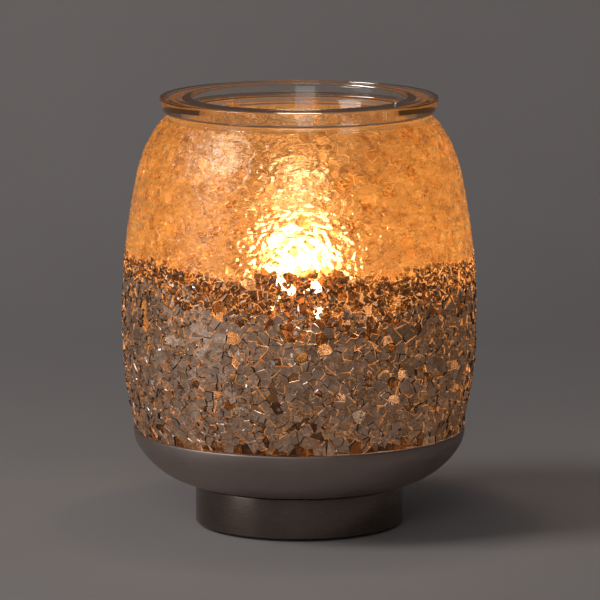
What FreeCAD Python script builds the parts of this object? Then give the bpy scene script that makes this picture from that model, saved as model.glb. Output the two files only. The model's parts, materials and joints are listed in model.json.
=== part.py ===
"""Electric wax warmer: crackle-glass barrel shade, clear glass dish, spun metal base.

FreeCAD 1.1 macro, millimetres. +Z is up, the warmer's axis is Z, the surface it stands on is
z = 0, and the cord inlet is at the rear, towards +Y. Run it and it writes parts/NODE.step.
"""
import FreeCAD, Part
import math
import os
import re
import Sketcher

# ---------------------------------------------------------------- driving dimensions
# Every alias has an underscore in it, which is how link() tells it from sqrt, sin and cos.
DIMENSIONS = [
    # barrel shade: arcs of the outside of the chip coat, measured from the belly
    ("belly_r", 63.6, "largest radius of the shade"),
    ("belly_z", 72, "height of the largest radius"),
    ("upper_arc", 260, "radius of the flank above the belly"),
    ("upper_turn", 12, "degrees of that flank"),
    ("shoulder_arc", 47.7, "radius of the shoulder"),
    ("shoulder_turn", 40.4, "slope of the shoulder's normal where the chips end, degrees"),
    ("lower_arc", 142, "radius of the flank below the belly"),
    ("chip_coat", 1.5, "thickness of the bonded chips"),
    ("shade_wall", 2.5, "thickness of the blown glass"),
    ("border_z", 98.5, "height where mirrored chips give way to clear ones"),
    ("chips_low_z", 35.3, "lowest chips, just over the cup's rim"),
    ("shade_low_z", 28.4, "bottom edge of the glass, inside the cup"),
    ("shade_lip_z", 148, "ground top edge of the glass"),
    ("shade_mouth_r", 43.2, "radius of the top opening"),
    ("lip_round", 0.8, "rounding of the glass lip"),
    # wax dish
    ("dish_rim_r", 49.5, "outer radius of the flange"),
    ("dish_band_r", 48.6, "outer radius of the flange at its underside"),
    ("dish_top_z", 153.5, "top of the flange"),
    ("dish_mouth_r", 37.6, "inner radius at the flange"),
    ("dish_step_r", 41.2, "outer radius of the bowl under the flange"),
    ("dish_low_r", 37.2, "outer radius of the bowl where its heel starts"),
    ("dish_low_z", 134, "height where the heel starts"),
    ("dish_foot_r", 29.5, "radius of the flat bottom"),
    ("dish_foot_z", 126, "underside of the dish"),
    ("dish_heel_arc", 8.5, "radius of the heel, outside"),
    ("dish_heel_step", 1, "how far the inside of the heel stands in from the outside's corners"),
    ("dish_wall", 3.5, "thickness of the pressed glass"),
    ("dish_edge", 1.3, "rounding of the flange's lower and inner edges"),
    ("dish_brim", 0.7, "rounding of the flange's upper outer edge"),
    # spun base cup and foot
    ("sheet_wall", 1.2, "sheet thickness of cup and foot"),
    ("cup_rim_r", 59.1, "outer radius of the rim"),
    ("cup_lip_z", 34.4, "height where the rim's rounding starts"),
    ("cup_lip_arc", 10, "outer radius of the arc under the rim"),
    ("cup_lip_turn", 30, "degrees of that arc"),
    ("cup_bowl_arc", 28, "outer radius of the bowl's arc"),
    ("rim_round", 0.5, "rounding of the sheet's edge"),
    ("bead_inner_r", 51.6, "inner radius of the silicone bead"),
    ("bead_high", 5, "height of the bead"),
    ("bead_drop", 2, "how far the bead reaches below the glass"),
    ("foot_r", 37, "outer radius of the foot"),
    ("foot_low_z", 1, "lower edge of the foot's wall"),
    ("foot_edge", 0.6, "rounding of the foot's top corner"),
    # cord inlet in the foot's rear wall
    ("inlet_z", 8.6, "height of the cord inlet"),
    ("inlet_hole_r", 4.4, "hole in the foot's wall"),
    ("inlet_flange_r", 5.2, "grommet flange"),
    ("inlet_step", 0.2, "how much smaller the grommet's inner flange is"),
    ("inlet_bore_r", 3.2, "grommet bore, for a 6 mm cord"),
    ("inlet_out_y", 38.6, "outer end of the grommet"),
    ("inlet_in_y", 33.6, "inner end of the grommet"),
    # bottom cover, its screws and pads
    ("cover_r", 35.4, "radius of the bottom cover"),
    ("cover_z", 2, "underside of the cover"),
    ("cover_wall", 1.5, "thickness of the cover"),
    ("fixing_r", 29, "circle of the cover screws and of the pads"),
    ("post_r", 3, "standoff radius"),
    ("screw_r", 1.5, "M3 shank radius"),
    ("screw_head_r", 2.9, "countersunk head radius"),
    ("screw_long", 8, "cover screw length"),
    ("slot_wide", 0.7, "screwdriver slot width"),
    ("slot_deep", 0.6, "screwdriver slot depth"),
    ("pad_r", 4.5, "rubber pad radius"),
    # M10 stem that clamps foot, cup and lampholder together
    ("stem_r", 5, "threaded nipple, M10"),
    ("stem_bore_r", 3.4, "its bore"),
    ("stem_low_z", 8.6, "lower end"),
    ("stem_high_z", 25.2, "upper end, inside the lampholder"),
    ("stem_hole_r", 5.3, "clearance holes in foot and cup"),
    ("nut_corner_r", 8.1, "corner radius of a 14 mm hexagon nut"),
    ("nut_high", 3.5, "nut thickness"),
    ("washer_r", 8.5, "lock washer radius"),
    ("washer_wall", 1, "lock washer thickness"),
    # E14 lampholder
    ("holder_r", 14, "outer radius"),
    ("holder_low_z", 20.1, "underside of the holder's cap"),
    ("holder_floor_z", 26.8, "floor inside the cap"),
    ("holder_seam_z", 30.3, "seam between cap and sleeve"),
    ("holder_deck_z", 41, "shoulder above the insert"),
    ("holder_top_z", 58, "top of the sleeve"),
    ("holder_edge", 2, "rounding of the sleeve's top"),
    ("holder_taper", 0.8, "how far below the cap's floor its cone ends"),
    ("holder_screw_r", 12.6, "where cap and sleeve screw together"),
    ("holder_room_r", 11.5, "room for the insert"),
    ("holder_bore_r", 7.4, "bore that takes the lamp's cap"),
    ("holder_neck_r", 8.6, "radius of the cap at its bottom"),
    ("insert_r", 11.4, "ceramic insert"),
    ("recess_r", 7, "recess for the contacts in its top"),
    ("recess_z", 38, "floor of that recess"),
    ("entry_r", 4.5, "entry for the leads in its underside"),
    ("entry_z", 31, "top of that entry"),
    ("terminal_x", 5, "distance of a terminal screw from the axis"),
    ("terminal_room_r", 2.8, "pocket round a terminal screw's head"),
    ("terminal_head_r", 2.4, "terminal screw head"),
    ("terminal_head_z", 31.2, "underside of that head"),
    ("terminal_head_high", 2, "its height"),
    ("terminal_shank_r", 1.25, "terminal screw shank, M2.5"),
    ("contact_wall", 0.5, "contact strip thickness"),
    ("contact_wide", 4, "contact strip width"),
    ("contact_foot", 2, "length of the centre contact's foot"),
    ("contact_rise_x", 4.2, "where the centre contact leaves the insert"),
    ("contact_flat", 2, "half length of its level top"),
    ("contact_slant", 0.4, "thickness of its sloping stretch, measured level"),
    ("contact_tail_run", 1.6, "length of its free tail"),
    ("contact_tail_drop", 2.4, "drop of that tail"),
    ("side_foot_x", 3.8, "inner end of the side contact's foot"),
    ("side_wall_x", 6, "inner face of its upright"),
    ("side_nose", 0.3, "how far its top reaches in to the lamp's cap"),
    ("side_gap", 0.5, "how far its top stays below the cap's thread"),
    # leads from the lampholder to the splices in the foot
    ("lead_r", 0.9, "insulated lead"),
    ("lead_x", 1.4, "distance of a lead from the axis inside the stem"),
    ("lead_low_z", 6.1, "height of the leads in the foot"),
    ("lead_bend", 2.6, "bend radius in the foot"),
    ("lead_straight", 0.8, "straight stretch at the terminal"),
    ("lead_sway", 3.2, "radius of both bends from the terminal in to the stem"),
    ("lead_start_x", 4.4, "distance of a lead from the axis at its terminal"),
    ("splice_x", 10, "mouth of a splice cap"),
    ("splice_long", 11, "length of a splice cap"),
    ("splice_r", 2.4, "radius of a splice cap"),
    # E14 lamp
    ("lamp_tip_z", 44.4, "underside of the lamp's centre contact"),
    ("lamp_tip_r", 2.4, "radius of that contact"),
    ("lamp_tip_high", 0.9, "its height"),
    ("lamp_tip_round", 0.5, "its rounding"),
    ("insulator_land", 0.8, "insulator left bare round the contact"),
    ("insulator_high", 0.35, "its height inside the cap"),
    ("lamp_cap_z", 47.4, "lower edge of the cap's thread"),
    ("lamp_skirt_z", 60, "start of the plain skirt"),
    ("lamp_cap_top_z", 66, "top of the cap"),
    ("thread_crest_r", 6.95, "E14 thread, crest"),
    ("thread_root_r", 6.3, "E14 thread, root"),
    ("thread_pitch", 2.82, "E14 thread, pitch"),
    ("thread_mid", 1.45, "height of a ridge's middle above the start of its turn"),
    ("thread_crest", 0.3, "half height of a ridge at its crest"),
    ("thread_root", 1.1, "half height of a ridge at its root"),
    ("lamp_skirt_r", 7.2, "radius of the skirt"),
    ("cap_wall", 0.3, "cap sheet thickness"),
    ("bulb_r", 14, "radius of the bulb"),
    ("bulb_neck_r", 6.9, "radius of its neck, cemented in the skirt"),
    ("bulb_low_z", 61, "end of the neck inside the cap"),
    ("bulb_flare_z", 67.5, "where the neck starts to widen"),
    ("bulb_full_z", 81, "where it reaches its full radius"),
    ("bulb_top_z", 108, "top of the bulb"),
    ("bulb_wall", 0.7, "bulb glass thickness"),
    ("flare_arc", 14.5, "radius of both arcs of the flare"),
    ("flare_lean", 30, "degrees that its wall leans out where the arcs meet"),
    ("mount_r", 2.2, "glass mount inside the bulb, above its flared foot"),
    ("mount_foot", 1, "height of its seat in the neck"),
    ("mount_arc", 9.5, "radius of its flare"),
    ("mount_low_z", 70, "where the flare ends"),
    ("mount_tip_r", 1.6, "radius at its top"),
    ("mount_top_z", 82, "top of the glass mount"),
    ("filament_z", 95, "height of the filament"),
    ("filament_ring_r", 6.5, "radius of its loop"),
    ("filament_coil_r", 0.35, "radius of the coil"),
    ("support_r", 0.3, "radius of the support wires"),
    ("support_root_r", 1, "distance of a support wire's foot from the axis"),
]
COVER_SCREWS = (90, 210, 330)    # degrees round the axis
PADS = (30, 150, 270)
FILAMENT_SWEEP = 300             # degrees of the filament's loop
SUPPORTS = (0, 150, 300)         # where a support wire meets the loop
THREAD_TURNS = 4                 # ridges shown on the lamp's cap
ZERO = "0"

doc = FreeCAD.newDocument("WaxWarmer")
sheet = doc.addObject("Spreadsheet::Sheet", "Sizes")
for row, (alias, size, meaning) in enumerate(DIMENSIONS, start=1):
    sheet.set(f"A{row}", alias)
    sheet.set(f"B{row}", str(size))
    sheet.setAlias(f"B{row}", alias)
    sheet.set(f"C{row}", meaning)
doc.recompute()

SUBPARTS = []                    # every object that becomes a node


# ---------------------------------------------------------------- small helpers
def link(text):
    """An expression for FreeCAD, with each alias pointing into the sheet."""
    return re.sub(r"[a-z]+(?:_[a-z]+)+", lambda word: "Sizes." + word.group(), str(text))


def value(text):
    """The same expression as a number."""
    result = sheet.evalExpression(link(text))
    return float(getattr(result, "Value", result))


def bind(obj, sizes):
    """Bind properties, given as {property: expression}, to the sheet."""
    for prop, text in sizes.items():
        obj.setExpression(prop, link(text))
    return obj


def subpart(obj, label):
    """Register an object as the node called label."""
    obj.Label = label
    SUBPARTS.append(obj)
    return obj


def place(obj, x=ZERO, y=ZERO, z=ZERO):
    return bind(obj, {".Placement.Base.x": x, ".Placement.Base.y": y, ".Placement.Base.z": z})


def turn(obj, axis, degrees):
    """Turn an object in place about a line through its own base point."""
    obj.Placement.Rotation = FreeCAD.Rotation(FreeCAD.Vector(*axis), degrees)
    return obj


def cylinder(name, radius, length, x=ZERO, y=ZERO, z=ZERO):
    shape = doc.addObject("Part::Cylinder", name)
    bind(shape, {"Radius": radius, "Height": length})
    return place(shape, x, y, z)


def cone(name, low_r, high_r, length, x=ZERO, y=ZERO, z=ZERO):
    shape = doc.addObject("Part::Cone", name)
    bind(shape, {"Radius1": low_r, "Radius2": high_r, "Height": length})
    return place(shape, x, y, z)


def hexagon(name, corner_r, length, z):
    shape = doc.addObject("Part::Prism", name)
    shape.Polygon = 6
    bind(shape, {"Circumradius": corner_r, "Height": length})
    return place(shape, z=z)


def fuse(name, shapes):
    union = doc.addObject("Part::MultiFuse", name)
    union.Shapes = shapes
    return union


def cut(name, base, tool):
    """base less tool; several tools are fused first."""
    result = doc.addObject("Part::Cut", name)
    result.Base = base
    result.Tool = fuse(name + "_tools", tool) if isinstance(tool, list) else tool
    return result


def group(name, solids):
    """Several separate solids in one node."""
    compound = doc.addObject("Part::Compound", name)
    compound.Links = solids
    return compound


def origin_plane(body, role):
    return next(item for item in body.Origin.OriginFeatures if item.Role == role)


def arc_between(start, end, radius, side):
    """The shorter arc from start to end; side is +1 when it turns left and -1 when right."""
    chord = end - start
    across = FreeCAD.Vector(-chord.y, chord.x, 0).normalize()
    rise = math.sqrt(max(radius ** 2 - (chord.Length / 2) ** 2, 0))
    centre = (start + end) * 0.5 + across * (rise * side)
    outward = ((start + end) * 0.5 - centre)
    if outward.Length < 1e-9:
        outward = across * -side
    middle = centre + outward.normalize() * radius
    return Part.Arc(start, middle, end)


def sketch_path(body, name, corners, plane="XZ_Plane", closed=True):
    """A sketch through corners, every one of them bound to the sheet.

    A corner is (x, y), reached by a straight line, or (x, y, radius, side), reached by an
    arc that turns left (side +1) or right (side -1).
    """
    sketch = body.newObject("Sketcher::SketchObject", name)
    sketch.AttachmentSupport = [(origin_plane(body, plane), "")]
    sketch.MapMode = "FlatFace"
    spots = [FreeCAD.Vector(value(corner[0]), value(corner[1]), 0) for corner in corners]
    count = len(corners) if closed else len(corners) - 1
    joins = []                   # for each edge: (its start vertex, its end vertex)
    for index in range(count):
        start, end = spots[index], spots[(index + 1) % len(spots)]
        arrival = corners[(index + 1) % len(corners)][2:]
        if not arrival:
            sketch.addGeometry(Part.LineSegment(start, end), False)
            joins.append((1, 2))
            continue
        radius, side = arrival
        sketch.addGeometry(arc_between(start, end, value(radius), side), False)
        joins.append((1, 2) if side > 0 else (2, 1))
    for index in range(count if closed else count - 1):
        after = (index + 1) % count
        sketch.addConstraint(Sketcher.Constraint(
            "Coincident", index, joins[index][1], after, joins[after][0]))
    for index, corner in enumerate(corners):
        edge, vertex = (index, 0) if index < count else (count - 1, 1)
        spot = (edge, joins[edge][vertex])
        hold(sketch, "DistanceX", -2, spot, corner[0], spots[index].x)
        hold(sketch, "DistanceY", -1, spot, corner[1], spots[index].y)
        if len(corner) > 2:
            bow = sketch.addConstraint(Sketcher.Constraint(
                "Radius", (index - 1) % count, value(corner[2])))
            sketch.setExpression(f"Constraints[{bow}]", link(corner[2]))
    return sketch


def hold(sketch, kind, axis, spot, text, size):
    """Fix one coordinate of a sketch point: on the axis when it is zero, or at a distance."""
    if text == ZERO:
        sketch.addConstraint(Sketcher.Constraint("PointOnObject", *spot, axis))
        return
    rule = sketch.addConstraint(Sketcher.Constraint(kind, -1, 1, *spot, size))
    sketch.setExpression(f"Constraints[{rule}]", link(text))


def turned(label, corners):
    """A body of revolution about Z; its corners are (radius, height)."""
    body = doc.addObject("PartDesign::Body", "Body_" + label)
    profile = sketch_path(body, "Profile_" + label, corners)
    spin = body.newObject("PartDesign::Revolution", "Turn_" + label)
    spin.Profile = profile
    spin.ReferenceAxis = (profile, ["V_Axis"])
    spin.Angle = 360
    return body


def strip(label, corners, wide):
    """A bent strip: an outline in the XZ plane, padded evenly to both sides of it."""
    body = doc.addObject("PartDesign::Body", "Body_" + label)
    profile = sketch_path(body, "Profile_" + label, corners)
    pad = body.newObject("PartDesign::Pad", "Pad_" + label)
    pad.Profile = profile
    pad.SideType = "Symmetric"
    bind(pad, {"Length": wide})
    return body


# ---------------------------------------------------------------- barrel shade
def flank(arc, inset, height):
    """Radius of the flank, inset from the chips' surface, at a height."""
    return f"belly_r - {arc} + sqrt(({arc} - {inset})^2 - ({height} - belly_z)^2)"


SHOULDER_X = "(belly_r - upper_arc + (upper_arc - shoulder_arc)*cos(upper_turn))"
SHOULDER_Z = "(belly_z + (upper_arc - shoulder_arc)*sin(upper_turn))"


def shoulder(inset, angle):
    """Point of the shoulder arc, inset from the chips' surface, at an angle of its normal."""
    return (f"{SHOULDER_X} + (shoulder_arc - {inset})*cos({angle})",
            f"{SHOULDER_Z} + (shoulder_arc - {inset})*sin({angle})")


def chip_coat_clear():
    """The upper band of bonded chips."""
    return subpart(turned("chip_coat_clear", [
        (flank("upper_arc", ZERO, "border_z"), "border_z"),
        (*shoulder(ZERO, "upper_turn"), "upper_arc", 1),
        (*shoulder(ZERO, "shoulder_turn"), "shoulder_arc", 1),
        shoulder("chip_coat", "shoulder_turn"),
        (*shoulder("chip_coat", "upper_turn"), "shoulder_arc - chip_coat", -1),
        (flank("upper_arc", "chip_coat", "border_z"), "border_z", "upper_arc - chip_coat", -1),
    ]), "chip_coat_clear")


def chip_coat_mirror():
    """The lower band of mirrored chips, from just over the cup's rim."""
    return subpart(turned("chip_coat_mirror", [
        (flank("lower_arc", ZERO, "chips_low_z"), "chips_low_z"),
        ("belly_r", "belly_z", "lower_arc", 1),
        (flank("upper_arc", ZERO, "border_z"), "border_z", "upper_arc", 1),
        (flank("upper_arc", "chip_coat", "border_z"), "border_z"),
        ("belly_r - chip_coat", "belly_z", "upper_arc - chip_coat", -1),
        (flank("lower_arc", "chip_coat", "chips_low_z"), "chips_low_z",
         "lower_arc - chip_coat", -1),
    ]), "chip_coat_mirror")


def shade_glass():
    """The blown barrel under the chips, open at both ends, with a ground lip."""
    deep = "(chip_coat + shade_wall)"
    neck_r = shoulder("chip_coat", "shoulder_turn")[0]
    throat_z = f"{SHOULDER_Z} + sqrt((shoulder_arc - {deep})^2 - (shade_mouth_r - {SHOULDER_X})^2)"
    return subpart(turned("shade_glass", [
        (flank("lower_arc", "chip_coat", "shade_low_z"), "shade_low_z"),
        ("belly_r - chip_coat", "belly_z", "lower_arc - chip_coat", 1),
        (*shoulder("chip_coat", "upper_turn"), "upper_arc - chip_coat", 1),
        (*shoulder("chip_coat", "shoulder_turn"), "shoulder_arc - chip_coat", 1),
        (neck_r, "shade_lip_z - lip_round"),
        (f"{neck_r} - lip_round", "shade_lip_z", "lip_round", 1),
        ("shade_mouth_r + lip_round", "shade_lip_z"),
        ("shade_mouth_r", "shade_lip_z - lip_round", "lip_round", 1),
        ("shade_mouth_r", throat_z),
        (*shoulder(deep, "upper_turn"), f"shoulder_arc - {deep}", -1),
        (f"belly_r - {deep}", "belly_z", f"upper_arc - {deep}", -1),
        (flank("lower_arc", deep, "shade_low_z"), "shade_low_z", f"lower_arc - {deep}", -1),
    ]), "shade_glass")


# ---------------------------------------------------------------- wax dish
def wax_dish():
    """Pressed clear dish: a broad flange that rests on the shade's lip, and a deep bowl."""
    return subpart(turned("wax_dish", [
        (ZERO, "dish_foot_z"),
        ("dish_foot_r", "dish_foot_z"),
        ("dish_low_r", "dish_low_z", "dish_heel_arc", 1),
        ("dish_step_r", "shade_lip_z"),
        ("dish_band_r - dish_edge", "shade_lip_z"),
        ("dish_band_r", "shade_lip_z + dish_edge", "dish_edge", 1),
        ("dish_rim_r", "dish_top_z - dish_brim"),
        ("dish_rim_r - dish_brim", "dish_top_z", "dish_brim", 1),
        ("dish_mouth_r + dish_edge", "dish_top_z"),
        ("dish_mouth_r", "dish_top_z - dish_edge", "dish_edge", 1),
        ("dish_low_r - dish_wall", "dish_low_z + dish_heel_step"),
        ("dish_foot_r - dish_heel_step", "dish_foot_z + dish_wall",
         "dish_heel_arc - dish_heel_step", -1),
        (ZERO, "dish_foot_z + dish_wall"),
    ]), "wax_dish")


# ---------------------------------------------------------------- cup and foot
BOWL_X = "(cup_rim_r - cup_lip_arc - (cup_bowl_arc - cup_lip_arc)*cos(cup_lip_turn))"
BOWL_Z = "(cup_lip_z + (cup_bowl_arc - cup_lip_arc)*sin(cup_lip_turn))"
CUP_UNDER = f"({BOWL_Z} - cup_bowl_arc)"
CUP_FLOOR = f"({CUP_UNDER} + sheet_wall)"


def lip_end(inset):
    """Where the arc under the rim passes into the bowl's arc."""
    return (f"cup_rim_r - cup_lip_arc + (cup_lip_arc - {inset})*cos(cup_lip_turn)",
            f"cup_lip_z - (cup_lip_arc - {inset})*sin(cup_lip_turn)")


def base_cup():
    """Spun bowl that holds the shade's lower end."""
    return subpart(turned("base_cup", [
        ("stem_hole_r", CUP_UNDER),
        (BOWL_X, CUP_UNDER),
        (*lip_end(ZERO), "cup_bowl_arc", 1),
        ("cup_rim_r", "cup_lip_z", "cup_lip_arc", 1),
        ("cup_rim_r - rim_round", "cup_lip_z + rim_round", "rim_round", 1),
        ("cup_rim_r - sheet_wall + rim_round", "cup_lip_z + rim_round"),
        ("cup_rim_r - sheet_wall", "cup_lip_z", "rim_round", 1),
        (*lip_end("sheet_wall"), "cup_lip_arc - sheet_wall", -1),
        (BOWL_X, CUP_FLOOR, "cup_bowl_arc - sheet_wall", -1),
        ("stem_hole_r", CUP_FLOOR),
    ]), "base_cup")


def shade_bead(glass):
    """Silicone that fills the gap between the shade's lower end and the cup."""
    room = turned("cup_room", [
        (ZERO, CUP_FLOOR),
        (BOWL_X, CUP_FLOOR),
        (*lip_end("sheet_wall"), "cup_bowl_arc - sheet_wall", 1),
        ("cup_rim_r - sheet_wall", "cup_lip_z", "cup_lip_arc - sheet_wall", 1),
        (ZERO, "cup_lip_z"),
    ])
    bead_z = "shade_low_z - bead_drop"
    blank = cut("Bead_blank", cylinder("Bead_outer", "cup_rim_r", "bead_high", z=bead_z),
                cylinder("Bead_inner", "bead_inner_r", "bead_high", z=bead_z))
    inside = doc.addObject("Part::Common", "Bead_inside")
    inside.Base = blank
    inside.Tool = room
    return subpart(cut("Bead", inside, glass), "shade_bead")


def foot_can():
    """Drawn foot: an upturned can with a stem hole in its top and the inlet in its rear."""
    shell = turned("foot_shell", [
        ("foot_r - sheet_wall", "foot_low_z"),
        ("foot_r", "foot_low_z"),
        ("foot_r", f"{CUP_UNDER} - foot_edge"),
        ("foot_r - foot_edge", CUP_UNDER, "foot_edge", 1),
        ("stem_hole_r", CUP_UNDER),
        ("stem_hole_r", f"{CUP_UNDER} - sheet_wall"),
        ("foot_r - sheet_wall", f"{CUP_UNDER} - sheet_wall"),
    ])
    return subpart(cut("Foot", shell, inlet_cylinder("Inlet_hole", "inlet_hole_r")), "foot_can")


def inlet_cylinder(name, radius, start="inlet_in_y", end="inlet_out_y"):
    """A cylinder along the cord inlet's axis, +Y."""
    return turn(cylinder(name, radius, f"{end} - {start}", y=start, z="inlet_z"), (1, 0, 0), -90)


def cord_grommet():
    """Rubber grommet: a bored neck in the foot's hole, with a flange on each side of the wall."""
    outer = cut("Grommet_outer", inlet_cylinder("Grommet_outer_disc", "inlet_flange_r"),
                cylinder("Wall_outside", "foot_r", "2*inlet_z"))
    inner = doc.addObject("Part::Common", "Grommet_inner")
    inner.Base = inlet_cylinder("Grommet_inner_disc", "inlet_flange_r - inlet_step")
    inner.Tool = cylinder("Wall_inside", "foot_r - sheet_wall", "2*inlet_z")
    neck = inlet_cylinder("Grommet_neck", "inlet_hole_r")
    bore = inlet_cylinder("Grommet_bore", "inlet_bore_r")
    return subpart(cut("Grommet", fuse("Grommet_solid", [outer, inner, neck]), bore), "cord_grommet")


def ring_of(angles, make):
    """make(index, x, y) at each angle of the fixing circle, as a list of objects."""
    return [make(index, f"fixing_r*cos({angle})", f"fixing_r*sin({angle})")
            for index, angle in enumerate(angles)]


def bottom_cover():
    """Pressed cover under the foot, countersunk for its screws."""
    plate = cylinder("Cover_plate", "cover_r", "cover_wall", z="cover_z")
    sinks = ring_of(COVER_SCREWS, lambda index, x, y: cone(
        f"Cover_sink{index}", "screw_head_r", "screw_r", "cover_wall", x, y, "cover_z"))
    return subpart(cut("Cover", plate, sinks), "bottom_cover")


def cover_standoffs():
    """Tapped posts welded under the foot's top."""
    low = "(cover_z + cover_wall)"

    def post(index, x, y):
        solid = cylinder(f"Post{index}", "post_r", f"{CUP_UNDER} - sheet_wall - {low}", x, y, low)
        tapped = cylinder(f"Post_hole{index}", "screw_r", "screw_long", x, y, low)
        return cut(f"Post_cut{index}", solid, tapped)
    return subpart(group("Posts", ring_of(COVER_SCREWS, post)), "cover_standoffs")


def cover_screws():
    """Countersunk M3 screws, flush with the cover."""
    def screw(index, x, y):
        head = cone(f"Screw_head{index}", "screw_head_r", "screw_r", "cover_wall", x, y, "cover_z")
        shank = cylinder(f"Screw_shank{index}", "screw_r", "screw_long - cover_wall",
                         x, y, "cover_z + cover_wall")
        slot = doc.addObject("Part::Box", f"Screw_slot{index}")
        bind(slot, {"Length": "2*screw_head_r", "Width": "slot_wide", "Height": "slot_deep"})
        place(slot, f"{x} - screw_head_r", f"{y} - slot_wide/2", "cover_z")
        return cut(f"Screw_cut{index}", fuse(f"Screw_solid{index}", [head, shank]), slot)
    return subpart(group("Screws", ring_of(COVER_SCREWS, screw)), "cover_screws")


def rubber_feet():
    """Stick-on pads that the warmer stands on."""
    return subpart(group("Pads", ring_of(PADS, lambda index, x, y: cylinder(
        f"Pad{index}", "pad_r", "cover_z", x, y))), "rubber_feet")


# ---------------------------------------------------------------- stem and lampholder
def threaded_nipple():
    tube = cylinder("Stem_solid", "stem_r", "stem_high_z - stem_low_z", z="stem_low_z")
    bore = cylinder("Stem_bore", "stem_bore_r", "stem_high_z - stem_low_z", z="stem_low_z")
    return subpart(cut("Stem", tube, bore), "threaded_nipple")


def nut(label, low_z):
    """Hexagon nut on the stem."""
    blank = hexagon(label + "_blank", "nut_corner_r", "nut_high", low_z)
    hole = cylinder(label + "_hole", "stem_r", "nut_high", z=low_z)
    return subpart(cut(label + "_cut", blank, hole), label)


def lock_washer():
    low_z = f"{CUP_UNDER} - sheet_wall - washer_wall"
    disc = cylinder("Washer_disc", "washer_r", "washer_wall", z=low_z)
    hole = cylinder("Washer_hole", "stem_r", "washer_wall", z=low_z)
    return subpart(cut("Washer", disc, hole), "lock_washer")


def holder_cap():
    """Lower half of the lampholder, screwed down the stem on to the upper nut."""
    return subpart(turned("holder_cap", [
        ("stem_r", "holder_low_z"),
        ("holder_neck_r", "holder_low_z"),
        ("holder_r", "holder_floor_z - holder_taper"),
        ("holder_r", "holder_seam_z"),
        ("holder_screw_r", "holder_seam_z"),
        ("holder_screw_r", "holder_floor_z"),
        ("stem_r", "holder_floor_z"),
    ]), "holder_cap")


def holder_sleeve():
    """Upper half of the lampholder: a shoulder over the insert, then the lamp's bore."""
    return subpart(turned("holder_sleeve", [
        ("holder_room_r", "holder_floor_z"),
        ("holder_screw_r", "holder_floor_z"),
        ("holder_screw_r", "holder_seam_z"),
        ("holder_r", "holder_seam_z"),
        ("holder_r", "holder_top_z - holder_edge"),
        ("holder_r - holder_edge", "holder_top_z", "holder_edge", 1),
        ("holder_bore_r", "holder_top_z"),
        ("holder_bore_r", "holder_deck_z"),
        ("holder_room_r", "holder_deck_z"),
    ]), "holder_sleeve")


def holder_insert():
    """Ceramic block: a recess for the contacts, pockets for the screws, an entry for the leads."""
    low, high = "holder_floor_z", "holder_deck_z"
    block = cylinder("Insert_block", "insert_r", f"{high} - {low}", z=low)
    recess = cylinder("Insert_recess", "recess_r", f"{high} - recess_z", z="recess_z")
    entry = cylinder("Insert_entry", "entry_r", f"entry_z - {low}", z=low)
    rooms = []
    for index, x in enumerate(("terminal_x", "-terminal_x")):
        rooms.append(cylinder(f"Insert_room{index}", "terminal_room_r",
                              f"terminal_head_z + terminal_head_high - {low}", x, z=low))
        rooms.append(cylinder(f"Insert_thread{index}", "terminal_shank_r",
                              f"{high} - {low}", x, z=low))
    return subpart(cut("Insert", block, [recess, entry] + rooms), "holder_insert")


def terminal_screws():
    """Brass screws, heads down, that clamp the leads and hold the contacts."""
    screws = []
    for index, x in enumerate(("terminal_x", "-terminal_x")):
        shank_z = "terminal_head_z + terminal_head_high"
        head = cylinder(f"Terminal_head{index}", "terminal_head_r", "terminal_head_high",
                        x, z="terminal_head_z")
        shank = cylinder(f"Terminal_shank{index}", "terminal_shank_r", f"recess_z - ({shank_z})",
                         x, z=shank_z)
        screws.append(fuse(f"Terminal_screw{index}", [head, shank]))
    return subpart(group("Terminals", screws), "terminal_screws")


def centre_contact():
    """Leaf spring from the live screw up to the lamp's tip."""
    low, top = "recess_z", "lamp_tip_z"
    tail_x = "-contact_flat - contact_tail_run"
    return subpart(strip("centre_contact", [
        ("contact_rise_x + contact_foot", low),
        ("contact_rise_x + contact_foot", f"{low} + contact_wall"),
        ("contact_rise_x + contact_slant", f"{low} + contact_wall"),
        ("contact_flat", top),
        ("-contact_flat", top),
        (tail_x, f"{top} - contact_tail_drop"),
        (f"{tail_x} + contact_wall", f"{top} - contact_tail_drop - contact_wall/2"),
        ("contact_wall/2 - contact_flat", f"{top} - contact_wall"),
        ("contact_flat - contact_wall/2", f"{top} - contact_wall"),
        ("contact_rise_x", low),
    ], "contact_wide"), "centre_contact")


def side_contact():
    """Strip from the neutral screw up to the lower edge of the lamp's threaded cap."""
    low, top = "recess_z", "lamp_cap_z - side_gap"
    return subpart(strip("side_contact", [
        ("-side_foot_x", low),
        ("-side_foot_x", f"{low} + contact_wall"),
        ("-side_wall_x", f"{low} + contact_wall"),
        ("-side_wall_x", f"{top} - contact_wall"),
        ("side_nose - side_wall_x", f"{top} - contact_wall"),
        ("side_nose - side_wall_x", top),
        ("-side_wall_x - contact_wall", top),
        ("-side_wall_x - contact_wall", low),
    ], "contact_wide"), "side_contact")


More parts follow.
